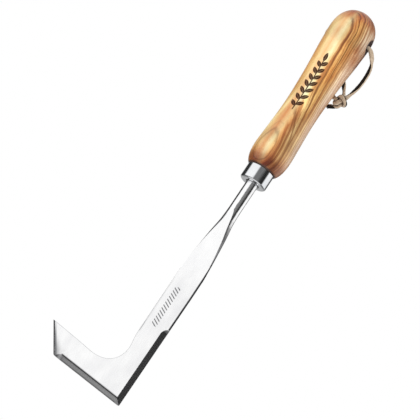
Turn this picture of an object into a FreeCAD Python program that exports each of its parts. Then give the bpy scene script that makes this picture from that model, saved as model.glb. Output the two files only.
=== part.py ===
import FreeCAD, Part
import math
import os

# Patio and border weeding knife: an L-shaped forged blade on a round stem,
# a steel ferrule, a turned ash handle and a knotted leather hanging lace.
# Millimetres. +Z runs up the handle axis, the blade hangs below the ferrule,
# the ground face of the blade looks toward -Y (the front) and the foot points
# toward -X (left). The origin is the centre of the ferrule's blade-side face.

V = FreeCAD.Vector
UP = V(0, 0, 1)
INTO_BLADE = V(0, 1, 0)     # from the front face into the steel

# ---- blade dimensions --------------------------------------------------------
BLADE_HALF_W = 9.25         # half width of the straight blade at its top
BLADE_T = 3.0
HALF_T = BLADE_T / 2.0
PLATE_TOP_Z = -95.0         # the neck ends and the straight plate starts here
HEEL = (8.25, -184.6)       # lower right corner of the blade (x, z)
TOE = (-50.4, -177.7)       # lower outer corner of the foot (x, z)
TIP = (-64.6, -156.55)      # sharp end of the foot (x, z)
HEEL_R = 0.9
TOE_R = 2.0
EDGE_BREAK = 0.35           # radius of the broken edges

# Inner sweep from the blade's left side to the top of the foot, (x, z).
SWEEP = [(-BLADE_HALF_W, -131.0), (-8.9, -138.0), (-8.0, -145.8), (-9.5, -153.2),
         (-14.6, -159.4), (-22.5, -162.2), (-29.5, -162.0), (-37.0, -160.7)]

# Ground bevels
BEVEL_W = 3.8               # width of the side and foot bevels, in plan
BEVEL_LAND = 0.4            # thickness left at a cutting edge
BEVEL_DEPTH = BLADE_T - BEVEL_LAND
SIDE_BEVEL_TOP_Z = -126.5   # where the side bevel starts to run out
FOOT_BEVEL_END_X = -44.1    # where the foot bevel starts to run out
WHEEL_R = 7.0               # radius of the wheel that leaves the run-outs
RUN_OUT_ANGLE = 50.0        # degrees of wheel arc in a run-out
BEVEL_REACH = 90.0          # cutter length past the run-out
TOE_BEVEL_W = 1.2           # narrow bevel on the slanted toe edge
TOE_BEVEL_DEPTH = BEVEL_DEPTH * 0.55
TOE_CUT_LEAD = 6.0          # toe cutter starts this far before the toe corner
TOE_CUT_LEN = 42.0
CUTTER_H = 6.0              # cutter height off the ground surface

# Forged neck
STEM_R = 4.6
TANG_SHOULDER_Z = 13.0      # the round stem stops here, inside the wood
ROUND_STATIONS = [TANG_SHOULDER_Z, 6.0, 0.0, -6.0, -12.0, -18.0, -23.0]
# Elliptical stations below the round ones, (z, half width in X, half depth in Y).
ELLIPSES = [(-28.0, 4.72, 4.72), (-34.0, 5.1, 4.9), (-41.0, 6.05, 5.05),
            (-48.5, 6.95, 5.6), (-56.0, 7.65, 6.3), (-63.0, 8.25, 7.2),
            (-70.0, 8.75, 8.6), (-77.0, 9.15, 11.0), (-84.0, 9.45, 14.0),
            (PLATE_TOP_Z, 9.9, 18.0)]
# The two flats drawing together to the blade's thickness, (z, half thickness).
FLATS = [(-24.0, STEM_R + 0.02), (-34.0, 4.08), (-48.5, 3.28), (-63.0, 2.46),
         (-74.0, 1.86), (-82.0, HALF_T)]
FLAT_START_SLOPE = 0.055    # dy/dz of the flats at the round stem
SLAB_HALF_W = 12.0          # the slab between the flats, wider than the neck
SLAB_TOP_Z = 20.0
SLAB_TOP_HALF_T = STEM_R + 1.2

# Square tang
TANG_SIDE = 6.2             # at its root
TANG_TIP_SIDE = 3.6
TANG_OVERLAP = 0.5          # how far the root sits inside the stem
TANG_END_Z = 58.0

# ---- ferrule dimensions ------------------------------------------------------
FERRULE_R = 10.25           # outside radius
FERRULE_LEN = 11.7
FERRULE_WALL = 1.0
FERRULE_BORE_R = FERRULE_R - FERRULE_WALL
FERRULE_FLOOR = 1.3
FERRULE_HOLE_R = 5.35       # hole the neck passes through
FERRULE_EDGE_R = 1.5        # outer rounding of the closed end
FERRULE_LIP_R = 0.3         # rounding of the neck hole
FERRULE_RIM_R = 0.25        # outer rounding of the open end

# ---- handle dimensions -------------------------------------------------------
TENON_R = FERRULE_BORE_R - 0.02     # wood inside the ferrule
TENON_START_Z = 1.5
GRIP_SHOULDER_Z = FERRULE_LEN + 0.05
GRIP_CHAMFER = 0.3          # radial width of the slope at the grip's lower edge
TANG_BORE_R = 5.0
TANG_BORE_END_Z = 62.0
TANG_BORE_CONE = 3.0        # height of the cone at the bore's end
RESIN_START_Z = 3.0         # resin stops short of the ferrule's floor

# Turned profile of the grip, (radius, z).
GRIP = [(10.35, 11.8), (11.5, 13.0), (12.7, 15.0), (13.75, 18.0),
        (14.42, 22.0), (14.72, 28.0), (14.42, 35.0), (13.87, 45.0),
        (13.38, 55.0), (13.2, 65.0), (13.35, 75.0), (13.8, 85.0),
        (14.35, 95.0), (15.15, 105.0), (16.0, 115.0), (16.62, 125.0),
        (16.9, 132.5), (16.5, 137.7), (15.45, 142.0), (13.65, 145.5),
        (11.1, 148.6), (7.8, 150.9), (4.1, 152.35), (0.0, 152.8)]

LACE_HOLE_Z = 132.0         # cross hole for the lace
LACE_HOLE_R = 4.2
FLARE_R = 3.0               # flare radius of both mouths
FLARE_ANGLE = 70.0          # degrees of flare arc
FLARE_END_X = 16.72         # where the flare arcs end
LACE_CUT_HALF_LEN = 30.0

# ---- lace dimensions ---------------------------------------------------------
LACE_R = 1.3
LACE_SECTION_STEP = 1.1     # spacing of the loft sections along the centre line
# Centre line from one tail, through the tight overhand knot, up the right
# side, through the cross hole, round behind the grip and down through the
# middle of the knot to the other tail, (x, y, z).
LACE = [
    (10.84, 14.05, 91.20), (11.44, 13.04, 90.84), (12.07, 12.07, 90.48), (13.02, 11.45, 90.10),
    (14.18, 11.31, 89.79), (15.31, 11.66, 89.59), (16.20, 12.46, 89.47), (16.93, 13.46, 89.42),
    (17.87, 14.21, 89.39), (19.04, 14.49, 89.36), (20.22, 14.25, 89.34), (21.18, 13.53, 89.36),
    (21.78, 12.48, 89.40), (22.01, 11.27, 89.47), (21.99, 9.53, 89.62), (21.78, 8.33, 89.78),
    (21.26, 7.27, 90.09), (20.41, 6.56, 90.55), (19.36, 6.31, 91.09), (18.31, 6.57, 91.60),
    (17.42, 7.30, 91.97), (16.79, 8.33, 92.16), (15.60, 11.07, 92.38), (15.09, 12.18, 92.26),
    (14.60, 13.13, 91.71), (14.20, 13.77, 90.77), (13.94, 13.94, 89.61), (13.93, 13.64, 88.45),
    (14.24, 12.98, 87.50), (14.84, 12.10, 86.94), (15.63, 11.20, 86.87), (16.45, 10.39, 87.28),
    (17.35, 9.63, 88.18), (18.36, 9.09, 89.47), (19.32, 9.04, 90.91), (20.95, 8.74, 94.27),
    (22.48, 8.08, 98.45), (23.79, 7.40, 102.95), (24.73, 6.22, 107.44), (25.24, 4.92, 111.71),
    (25.28, 3.73, 116.30), (24.67, 2.72, 120.64), (23.02, 1.58, 124.88), (20.36, 0.52, 128.63),
    (18.47, 0.20, 130.51), (16.39, 0.07, 131.59), (13.75, 0.01, 132.07), (9.02, 0.02, 132.16),
    (4.52, 0.06, 132.07), (0.02, 0.11, 132.00), (-4.73, 0.26, 131.92), (-9.45, 0.70, 131.88),
    (-14.09, 1.59, 131.84), (-15.83, 2.42, 131.55), (-17.04, 3.52, 131.08), (-17.75, 4.88, 130.41),
    (-17.90, 6.35, 129.57), (-17.41, 8.58, 128.08), (-15.64, 11.57, 125.68),
    (-13.71, 13.67, 123.67), (-10.61, 16.00, 120.97), (-6.94, 17.62, 118.46),
    (-2.97, 18.47, 116.04), (1.08, 18.64, 113.58), (4.98, 18.22, 110.93), (8.50, 17.40, 107.86),
    (11.50, 16.27, 104.38), (13.95, 14.68, 100.95), (16.27, 13.08, 97.13), (18.25, 12.28, 92.91),
    (18.88, 11.97, 91.03), (19.10, 11.83, 89.82), (19.03, 11.92, 88.62), (18.61, 12.32, 87.56),
    (17.78, 13.04, 86.56), (16.36, 13.98, 85.55), (14.60, 14.63, 84.89), (10.86, 16.14, 83.75),
    (10.33, 16.61, 83.50)
]


# ---- drawing helpers ---------------------------------------------------------
def chain(*points):
    """Straight edges joining the points in order."""
    return [Part.makeLine(a, b) for a, b in zip(points, points[1:])]


def arc(start, middle, end):
    return Part.Arc(start, middle, end).toShape()


def spline(points, start, end):
    """Curve through the points with the given end tangents."""
    curve = Part.BSplineCurve()
    curve.interpolate(Points=points, InitialTangent=start, FinalTangent=end)
    return curve.toShape()


def ring(centre, axis_a, axis_b, count):
    """Closed smooth wire through count points of an ellipse."""
    angles = [2 * math.pi * k / count for k in range(count)]
    curve = Part.BSplineCurve()
    curve.interpolate(Points=[centre + axis_a * math.cos(a) + axis_b * math.sin(a)
                              for a in angles], PeriodicFlag=True)
    return Part.Wire([curve.toShape()])


def face(edges):
    return Part.Face(Part.Wire(edges))


def at(radius, z):
    """Point of a turned profile."""
    return V(radius, 0, z)


def turned(edges):
    return face(edges).revolve(V(0, 0, 0), UP, 360)


# ---- blade -------------------------------------------------------------------
def on_front(point):
    """(x, z) placed on the blade's front face."""
    return V(point[0], -HALF_T, point[1])


def upright_edge(shape, x, z):
    """The edge through the plate's thickness at (x, z)."""
    for edge in shape.Edges:
        box = edge.BoundBox
        if (box.YLength > BLADE_T * 0.9 and box.XLength < 0.01 and box.ZLength < 0.01
                and abs(box.Center.x - x) < 0.05 and abs(box.Center.z - z) < 0.05):
            return edge
    raise ValueError("edge not found")


def make_plate():
    """Straight plate and foot: one outline, constant thickness."""
    sweep = [on_front(point) for point in SWEEP]
    toward_tip = (on_front(TIP) - sweep[-1]).normalize()
    top_left = on_front((-BLADE_HALF_W, PLATE_TOP_Z))
    top_right = on_front((BLADE_HALF_W, PLATE_TOP_Z))
    outline = chain(top_left, sweep[0])
    outline.append(spline(sweep, V(0, 0, -1), toward_tip))
    outline += chain(sweep[-1], on_front(TIP), on_front(TOE), on_front(HEEL),
                     top_right, top_left)
    plate = face(outline).extrude(V(0, BLADE_T, 0))
    plate = plate.makeFillet(TOE_R, [upright_edge(plate, *TOE)])
    return plate.makeFillet(HEEL_R, [upright_edge(plate, *HEEL)])


def make_neck():
    """Ellipses growing from the round stem, held between two closing flats."""
    stations = [(z, STEM_R, STEM_R) for z in ROUND_STATIONS] + ELLIPSES
    envelope = Part.makeLoft([ring(V(0, 0, z), V(half_w, 0, 0), V(0, half_d, 0), 24)
                              for z, half_w, half_d in stations], True, False)

    front = [V(-SLAB_HALF_W, -half, z) for z, half in FLATS]
    back = [V(-SLAB_HALF_W, half, z) for z, half in FLATS]
    profile = [spline(front, V(0, FLAT_START_SLOPE, -1), V(0, 0, -1))]
    profile += chain(front[-1], V(-SLAB_HALF_W, -HALF_T, PLATE_TOP_Z),
                     V(-SLAB_HALF_W, HALF_T, PLATE_TOP_Z), back[-1])
    profile.append(spline(back[::-1], V(0, 0, 1), V(0, FLAT_START_SLOPE, 1)))
    profile += chain(back[0], V(-SLAB_HALF_W, SLAB_TOP_HALF_T, SLAB_TOP_Z),
                     V(-SLAB_HALF_W, -SLAB_TOP_HALF_T, SLAB_TOP_Z), front[0])
    slab = face(profile).extrude(V(2 * SLAB_HALF_W, 0, 0))

    # Trims the neck to the blade's width.
    width_box = Part.makeBox(2 * BLADE_HALF_W, 40.0, 130.0,
                             V(-BLADE_HALF_W, -20.0, PLATE_TOP_Z))
    return envelope.common(slab).common(width_box)


def square(side, z):
    h = side / 2.0
    return Part.makePolygon([V(h, h, z), V(-h, h, z), V(-h, -h, z), V(h, -h, z), V(h, h, z)])


def make_tang():
    return Part.makeLoft([square(TANG_SIDE, TANG_SHOULDER_Z - TANG_OVERLAP),
                          square(TANG_TIP_SIDE, TANG_END_Z)], True, True)


def bevel_directions(along, outward, width, depth):
    """Unit vectors down the bevel and square off it, toward the front."""
    slope = (outward * width + INTO_BLADE * depth).normalize()
    normal = along.cross(slope).normalize()
    if normal.y > 0:
        normal = normal * -1.0
    return slope, normal


def bevel_cutter(profile, slope, lead, length):
    """Profile swept down the bevel, starting lead above its upper boundary."""
    section = face(profile)
    section.translate(slope * -lead)
    return section.extrude(slope * length)


def run_out_bevel(edge_point, along, outward):
    """Cutter for a wide bevel that lifts off on the wheel radius.

    edge_point: where the run-out starts, on the edge at front face level.
    along: unit vector from the run-out toward the far end.
    outward: unit vector in the blade plane pointing off the edge."""
    slope, normal = bevel_directions(along, outward, BEVEL_W, BEVEL_DEPTH)
    start = edge_point - outward * BEVEL_W
    far = start + along * BEVEL_REACH

    def on_wheel(degrees):
        angle = math.radians(degrees)
        return (start - along * (WHEEL_R * math.sin(angle))
                + normal * (WHEEL_R * (1 - math.cos(angle))))

    lifted = on_wheel(RUN_OUT_ANGLE)
    raised = normal * CUTTER_H
    profile = [arc(lifted, on_wheel(RUN_OUT_ANGLE / 2), start)]
    profile += chain(start, far, far + raised, lifted + raised, lifted)
    return bevel_cutter(profile, slope, 6.0, 18.0)


def side_bevel():
    """Down the right side of the blade."""
    top = on_front((BLADE_HALF_W, PLATE_TOP_Z))
    along = (on_front(HEEL) - top).normalize()
    start = top + along * ((SIDE_BEVEL_TOP_Z - PLATE_TOP_Z) / along.z)
    return run_out_bevel(start, along, V(-along.z, 0, along.x))


def foot_bevel():
    """Along the bottom edge, from near the toe to the heel."""
    toe = on_front(TOE)
    along = (on_front(HEEL) - toe).normalize()
    start = toe + along * ((FOOT_BEVEL_END_X - TOE[0]) / along.x)
    return run_out_bevel(start, along, V(along.z, 0, -along.x))


def toe_bevel():
    """Narrow bevel along the whole slanted edge from toe to tip."""
    along = (on_front(TIP) - on_front(TOE)).normalize()
    outward = V(-along.z, 0, along.x)
    slope, normal = bevel_directions(along, outward, TOE_BEVEL_W, TOE_BEVEL_DEPTH)
    start = on_front(TOE) - outward * TOE_BEVEL_W - along * TOE_CUT_LEAD
    far = start + along * TOE_CUT_LEN
    raised = normal * CUTTER_H
    profile = chain(start, far, far + raised, start + raised, start)
    return bevel_cutter(profile, slope, 4.0, 14.0)


def edges_to_break(blade):
    """Edges on the front and back faces: the inner sweep, and any more than
    20 tall that lie at or left of the blade's unground side."""
    chosen = []
    for edge in blade.Edges:
        box = edge.BoundBox
        if box.YLength > 0.01 or abs(abs(box.Center.y) - HALF_T) > 0.01:
            continue
        tall_left = box.XMax < -BLADE_HALF_W + 0.05 and box.ZLength > 20
        sweep = box.XMin < -30 and box.XMax > -12 and box.ZMax > -140
        if tall_left or sweep:
            chosen.append(edge)
    return chosen


def make_blade():
    plate = make_plate().cut(side_bevel()).cut(foot_bevel()).cut(toe_bevel())
    blade = plate.fuse([make_neck(), make_tang()]).removeSplitter()
    return blade.makeFillet(EDGE_BREAK, edges_to_break(blade))


# ---- ferrule -----------------------------------------------------------------
def quarter_round(centre_r, centre_z, radius, start_angle):
    """Clockwise quarter arc of a turned profile, from start_angle in degrees."""
    angles = [math.radians(start_angle - turn) for turn in (0, 45, 90)]
    return arc(*[at(centre_r + radius * math.cos(a), centre_z + radius * math.sin(a))
                 for a in angles])


def make_ferrule():
    rim_r = FERRULE_R - FERRULE_RIM_R
    rim_z = FERRULE_LEN - FERRULE_RIM_R
    edge_r = FERRULE_R - FERRULE_EDGE_R
    lip_r = FERRULE_HOLE_R + FERRULE_LIP_R
    profile = chain(at(FERRULE_HOLE_R, FERRULE_LIP_R), at(FERRULE_HOLE_R, FERRULE_FLOOR),
                    at(FERRULE_BORE_R, FERRULE_FLOOR), at(FERRULE_BORE_R, FERRULE_LEN),
                    at(rim_r, FERRULE_LEN))
    profile.append(quarter_round(rim_r, rim_z, FERRULE_RIM_R, 90))
    profile += chain(at(FERRULE_R, rim_z), at(FERRULE_R, FERRULE_EDGE_R))
    profile.append(quarter_round(edge_r, FERRULE_EDGE_R, FERRULE_EDGE_R, 0))
    profile += chain(at(edge_r, 0), at(lip_r, 0))
    profile.append(quarter_round(lip_r, FERRULE_LIP_R, FERRULE_LIP_R, -90))
    return turned(profile)


# ---- handle and resin --------------------------------------------------------
def tang_bore(start_z):
    """Cone-ended bore for the tang, filled from start_z up."""
    return turned(chain(at(0, start_z), at(TANG_BORE_R, start_z),
                        at(TANG_BORE_R, TANG_BORE_END_Z - TANG_BORE_CONE),
                        at(0, TANG_BORE_END_Z), at(0, start_z)))


def grip_curve():
    """Grip profile, interpolated over the crown so that the pole is smooth."""
    points = [at(r, z) for r, z in GRIP]
    past_crown = [at(-r, z) for r, z in reversed(GRIP[-5:-1])]
    curve = Part.BSplineCurve()
    curve.interpolate(Points=points + past_crown)
    curve.segment(curve.FirstParameter, curve.parameter(points[-1]))
    return curve.toShape()


def lace_hole():
    """Cross hole along X, flared at both mouths."""
    def off_axis(x, radius):
        return V(x, 0, LACE_HOLE_Z + radius)

    flare_start_x = FLARE_END_X - FLARE_R * math.sin(math.radians(FLARE_ANGLE))

    def flare(side, degrees):
        angle = math.radians(degrees)
        return off_axis(side * (flare_start_x + FLARE_R * math.sin(angle)),
                        LACE_HOLE_R + FLARE_R - FLARE_R * math.cos(angle))

    half = FLARE_ANGLE / 2
    mouth_r = flare(1, FLARE_ANGLE).z - LACE_HOLE_Z
    end = LACE_CUT_HALF_LEN
    profile = chain(off_axis(-end, 0), off_axis(-end, mouth_r), flare(-1, FLARE_ANGLE))
    profile.append(arc(flare(-1, FLARE_ANGLE), flare(-1, half), flare(-1, 0)))
    profile += chain(flare(-1, 0), flare(1, 0))
    profile.append(arc(flare(1, 0), flare(1, half), flare(1, FLARE_ANGLE)))
    profile += chain(flare(1, FLARE_ANGLE), off_axis(end, mouth_r),
                     off_axis(end, 0), off_axis(-end, 0))
    return face(profile).revolve(V(0, 0, LACE_HOLE_Z), V(1, 0, 0), 360)


def make_handle():
    profile = [grip_curve()]
    profile += chain(at(*GRIP[-1]), at(0, TENON_START_Z), at(TENON_R, TENON_START_Z),
                     at(TENON_R, GRIP_SHOULDER_Z),
                     at(GRIP[0][0] - GRIP_CHAMFER, GRIP_SHOULDER_Z), at(*GRIP[0]))
    return turned(profile).cut(tang_bore(0)).cut(lace_hole())


# ---- leather lace ------------------------------------------------------------
def make_lace():
    """Round sections lofted along the centre line."""
    curve = Part.BSplineCurve()
    curve.interpolate(Points=[V(*point) for point in LACE])
    path = curve.toShape()
    length = path.Length
    steps = int(length / LACE_SECTION_STEP)
    side = UP
    sections = []
    for k in range(steps + 1):
        # The last station stays just inside the end of the path.
        station = path.getParameterByLength(min(length * k / steps, length - 0.001))
        along = path.tangentAt(station)
        # The side direction is carried along without twist.
        side = (side - along * side.dot(along)).normalize()
        sections.append(ring(path.valueAt(station), side * LACE_R,
                             along.cross(side) * LACE_R, 12))
    return Part.makeLoft(sections, True, False, False, 3)


# ---- export ------------------------------------------------------------------
os.makedirs("parts", exist_ok=True)
blade = make_blade()
pieces = {
    "blade": blade,
    "ferrule": make_ferrule(),
    "handle": make_handle(),
    "tang_resin": tang_bore(RESIN_START_Z).cut(blade),
    "leather_cord": make_lace(),
}
for name, shape in pieces.items():
    solids = shape.Solids
    piece = solids[0] if len(solids) == 1 else shape
    piece.exportStep("parts/" + name + ".step")
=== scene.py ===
# A hand tool with a turned ash grip, a steel ferrule, a ground steel blade and a
# knotted leather lace. The grip stands along +Z with the blade below it toward -Z.
# The blade's flat faces -Y and its foot reaches toward -X. The lace passes through
# a hole along X near the top of the grip. Sizes are in millimetres unless noted.
import math

import bmesh
import bpy
import numpy as np
from mathutils import Matrix, Vector


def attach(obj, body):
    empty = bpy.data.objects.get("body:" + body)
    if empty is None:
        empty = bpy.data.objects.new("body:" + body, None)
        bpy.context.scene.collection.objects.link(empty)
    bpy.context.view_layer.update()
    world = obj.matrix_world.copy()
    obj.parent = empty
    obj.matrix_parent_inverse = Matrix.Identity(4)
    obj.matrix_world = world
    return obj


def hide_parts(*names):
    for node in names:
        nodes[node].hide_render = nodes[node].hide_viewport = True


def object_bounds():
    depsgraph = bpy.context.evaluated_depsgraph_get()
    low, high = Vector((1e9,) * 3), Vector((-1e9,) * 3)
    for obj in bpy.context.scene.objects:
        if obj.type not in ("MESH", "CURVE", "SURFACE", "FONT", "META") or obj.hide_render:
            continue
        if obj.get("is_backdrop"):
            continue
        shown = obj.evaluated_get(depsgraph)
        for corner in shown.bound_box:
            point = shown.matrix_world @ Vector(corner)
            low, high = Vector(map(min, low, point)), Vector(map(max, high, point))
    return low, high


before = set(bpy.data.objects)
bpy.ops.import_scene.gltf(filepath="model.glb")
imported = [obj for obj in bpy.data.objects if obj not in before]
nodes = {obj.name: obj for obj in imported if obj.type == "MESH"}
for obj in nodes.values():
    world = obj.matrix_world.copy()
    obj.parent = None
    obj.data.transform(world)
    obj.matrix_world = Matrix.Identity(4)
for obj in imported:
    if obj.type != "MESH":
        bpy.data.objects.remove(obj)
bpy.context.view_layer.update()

MM = 0.001                      # metres in a millimetre
DEG_PER_RAD = 57.29578
RAD_PER_DEG = 0.01745329
scene = bpy.context.scene

HOLE_HEIGHT = 132.0             # Z of the lace hole's axis
HOLE_RADIUS = 4.2
HOLE_FLARE = 3.0                # radius of the rolled mouths
HOLE_MOUTH = 16.72              # X at which the rolled mouths begin


# ---------------------------------------------------------------- node helpers
def rgb(*levels):
    """Linear node colour of an 8-bit display colour."""
    def linear(level):
        level /= 255.0
        return level / 12.92 if level <= 0.04045 else ((level + 0.055) / 1.055) ** 2.4
    return tuple(linear(level) for level in levels) + (1.0,)


def grey(level):
    """Node colour of a linear grey."""
    return (level, level, level, 1.0)


class Signal:
    """One node output; arithmetic on it adds Math nodes."""

    def __init__(self, graph, socket):
        self.graph = graph
        self.socket = socket

    def __add__(self, other):
        return self.graph.math("ADD", self, other)

    def __radd__(self, other):
        return self.graph.math("ADD", other, self)

    def __sub__(self, other):
        return self.graph.math("SUBTRACT", self, other)

    def __rsub__(self, other):
        return self.graph.math("SUBTRACT", other, self)

    def __mul__(self, other):
        return self.graph.math("MULTIPLY", self, other)

    def __truediv__(self, other):
        return self.graph.math("DIVIDE", self, other)

    def __pow__(self, other):
        return self.graph.math("POWER", self, other)

    def __abs__(self):
        return self.graph.math("ABSOLUTE", self)

    def maximum(self, other):
        return self.graph.math("MAXIMUM", self, other)

    def bell(self, at, width):
        """exp(-((self - at) / width)^2)"""
        offset = (self - at) / width
        return self.graph.math("POWER", 2.718281828, offset * offset * -1.0)

    def fade(self, off, on, low=0.0, high=1.0):
        """Smooth step: low at the value off, high at the value on."""
        return self.graph.map_range(self, "SMOOTHSTEP", off, on, low, high)

    def slope(self, off, on, low=0.0, high=1.0):
        """Straight, clamped form of fade."""
        return self.graph.map_range(self, "LINEAR", off, on, low, high)

    def band(self, first, second):
        """Product of two fades, one for each edge, given as (off, on)."""
        return self.fade(*first) * self.fade(*second)


class Graph:
    """Builds a node tree from scratch."""

    def __init__(self, tree):
        self.nodes = tree.nodes
        self.links = tree.links
        self.nodes.clear()

    def node(self, kind, **settings):
        made = self.nodes.new(kind)
        for key, value in settings.items():
            setattr(made, key, value)
        return made

    def out(self, node, key=0):
        return Signal(self, node.outputs[key])

    def put(self, socket, value):
        if isinstance(value, Signal):
            self.links.new(value.socket, socket)
        else:
            socket.default_value = value

    def math(self, operation, *values, clamp=False):
        made = self.node("ShaderNodeMath", operation=operation, use_clamp=clamp)
        for i, value in enumerate(values):
            self.put(made.inputs[i], value)
        return self.out(made)

    def map_range(self, value, interpolation, off, on, low, high):
        made = self.node("ShaderNodeMapRange", interpolation_type=interpolation)
        for key, setting in (("Value", value), ("From Min", off), ("From Max", on),
                             ("To Min", low), ("To Max", high)):
            self.put(made.inputs[key], setting)
        return self.out(made, "Result")

    def curve(self, value, points):
        """Smooth curve through (x, y) points in rising x; flat outside them."""
        x_first, x_last = points[0][0], points[-1][0]
        low = min(y for _, y in points)
        span = max(y for _, y in points) - low
        made = self.node("ShaderNodeFloatCurve")
        mapping = made.mapping
        curve = mapping.curves[0]
        unit = [((x - x_first) / (x_last - x_first), (y - low) / span) for x, y in points]
        curve.points[0].location = unit[0]
        curve.points[1].location = unit[-1]
        for point in unit[1:-1]:
            curve.points.new(*point)
        for point in curve.points:
            point.handle_type = "AUTO_CLAMPED"
        mapping.use_clip = True
        mapping.update()
        self.put(made.inputs["Value"], value.slope(x_first, x_last))
        return self.math("MULTIPLY_ADD", self.out(made, "Value"), span, low)

    def ramp(self, value, stops):
        """Colour ramp through (position, colour) stops."""
        made = self.node("ShaderNodeValToRGB")
        elements = made.color_ramp.elements
        made.color_ramp.interpolation = "LINEAR"
        elements[0].position, elements[0].color = stops[0]
        elements[1].position, elements[1].color = stops[-1]
        for position, colour in stops[1:-1]:
            elements.new(position).color = colour
        self.put(made.inputs["Fac"], value)
        return self.out(made, "Color")

    def mix(self, factor, first, second, blend="MIX"):
        made = self.node("ShaderNodeMix", data_type="RGBA", blend_type=blend, clamp_factor=True)
        for i, value in ((0, factor), (6, first), (7, second)):
            self.put(made.inputs[i], value)
        return self.out(made, 2)

    def multiply(self, colour, tint):
        return self.mix(1.0, colour, tint, "MULTIPLY")

    def stain(self, colour, amount, tint):
        """Multiply a colour by a tint, where and as far as amount says."""
        return self.mix(amount, colour, self.multiply(colour, tint))

    def paint(self, colour, coats):
        """Lay (mask, strength, colour) coats over a colour, in order."""
        for mask, strength, coat in coats:
            colour = self.mix(mask * strength, colour, coat)
        return colour

    def noise(self, vector, scale=1.0, detail=2.0, rough=0.6):
        made = self.node("ShaderNodeTexNoise", noise_dimensions="3D")
        self.put(made.inputs["Vector"], vector)
        made.inputs["Scale"].default_value = scale
        made.inputs["Detail"].default_value = detail
        made.inputs["Roughness"].default_value = rough
        return self.out(made, "Fac")

    def grain(self, xyz, scales, **look):
        """Noise with its own scale along each axis, per millimetre."""
        stretched = self.combine(*(axis * scale for axis, scale in zip(xyz, scales)))
        return self.noise(stretched, **look)

    def combine(self, x, y, z):
        made = self.node("ShaderNodeCombineXYZ")
        for i, value in enumerate((x, y, z)):
            self.put(made.inputs[i], value)
        return self.out(made)

    def split(self, vector):
        made = self.node("ShaderNodeSeparateXYZ")
        self.put(made.inputs[0], vector)
        return self.out(made, 0), self.out(made, 1), self.out(made, 2)

    def scaled(self, vector, factor):
        made = self.node("ShaderNodeVectorMath", operation="SCALE")
        self.put(made.inputs[0], vector)
        self.put(made.inputs["Scale"], factor)
        return self.out(made)

    def coordinates(self):
        """Object-space position in millimetres, and normal."""
        made = self.node("ShaderNodeTexCoord")
        return self.scaled(self.out(made, "Object"), 1000.0), self.out(made, "Normal")

    def azimuth(self, x, y):
        """Degrees round Z: 0 toward -Y, positive toward +X."""
        return self.math("ARCTAN2", x, y * -1.0) * DEG_PER_RAD

    def bump(self, height, metres):
        made = self.node("ShaderNodeBump")
        made.inputs["Strength"].default_value = 1.0
        made.inputs["Distance"].default_value = metres
        self.put(made.inputs["Height"], height)
        return self.out(made, "Normal")

    def output(self, kind, shader):
        made = self.node(kind)
        self.links.new(shader.outputs[0], made.inputs["Surface"])

    def principled(self, inputs):
        made = self.node("ShaderNodeBsdfPrincipled")
        for name, value in inputs.items():
            self.put(made.inputs[name], value)
        self.output("ShaderNodeOutputMaterial", made)


def new_material(name):
    made = bpy.data.materials.new(name)
    made.use_nodes = True
    return made, Graph(made.node_tree)


def assign(obj, material):
    obj.data.materials.clear()
    obj.data.materials.append(material)


# ---------------------------------------------------------------- wood
# Growth layers run along the grip. Depth is measured along the layer normal.
# Dark early-wood lines: (depth, width, weight)
LAYER_LINES = [
    (21.3, 0.42, 0.50), (20.2, 0.30, 0.22), (19.2, 0.30, 0.26), (18.1, 0.50, 0.66),
    (16.9, 0.25, 0.10), (14.75, 0.62, 0.96), (13.75, 0.24, 0.42), (12.45, 0.50, 1.00),
    (11.3, 0.26, 0.45), (10.05, 0.48, 0.98), (8.55, 0.38, 0.82)]
# (height, azimuth the layer normal faces)
LAYER_FACING = [
    (8, -21), (31, -20), (43, -17), (50, -15), (62, -12), (75, -9.5), (88, -10),
    (100, -13), (113, -15), (126, -18), (154, -18)]
# (height, depth added there)
LAYER_SHIFT = [
    (8, 9.3), (18, 8.8), (24, 8.3), (31, 7.9), (43, 6.9), (50, 6.1), (62, 5.0), (75, 3.45),
    (88, 2.4), (100, 1.65), (113, 0.6), (126, 0.0), (131, -0.35), (136, -1.0), (140, -1.2),
    (144, -0.4), (150, 0.0), (155, 0.1)]
# Colour by depth: (place in LAYER_RANGE as 0..1, colour)
LAYER_RANGE = (-18.0, 24.0)
LAYER_COLOURS = [
    (0.0, rgb(212, 176, 140)), (0.43, rgb(216, 180, 146)), (0.56, rgb(222, 186, 152)),
    (0.635, rgb(220, 180, 140)), (0.66, rgb(218, 170, 118)), (0.73, rgb(222, 172, 114)),
    (0.775, rgb(230, 184, 126)), (0.795, rgb(246, 212, 156)), (0.83, rgb(248, 218, 168)),
    (0.862, rgb(238, 196, 142)), (0.90, rgb(230, 184, 128)), (0.93, rgb(226, 178, 124)),
    (0.945, rgb(240, 198, 140)), (0.985, rgb(250, 220, 170)), (1.0, rgb(250, 222, 172))]
RING_SPACING = 1.28             # of the narrow even rings deeper in
# Middle of the broad dark streak: (height, azimuth)
STREAK_RUN = [(10, 47), (15, 45), (25, 42), (32, 38), (40, 33), (47, 24), (53, 15), (58, 10),
              (66, 6)]
# Tone factors: partly the wood's own colour, partly painted light and shade round and along the
# grip.
# (place in TONE_RANGE degrees of azimuth as 0..1, factor on red, green and blue)
TONE_RANGE = (-60.0, 90.0)
TONE_ROUND = [
    (0.000, (0.95, 1.29, 1.98)), (0.113, (0.95, 1.33, 2.06)), (0.253, (0.84, 0.74, 0.70)),
    (0.363, (1.07, 1.56, 2.16)), (0.460, (1.47, 1.53, 1.41)), (0.560, (1.42, 1.73, 1.71)),
    (0.660, (1.33, 1.63, 1.73)), (0.770, (1.30, 1.80, 2.52)), (0.887, (1.12, 1.43, 2.04)),
    (1.000, (1.08, 1.33, 1.82))]
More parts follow.
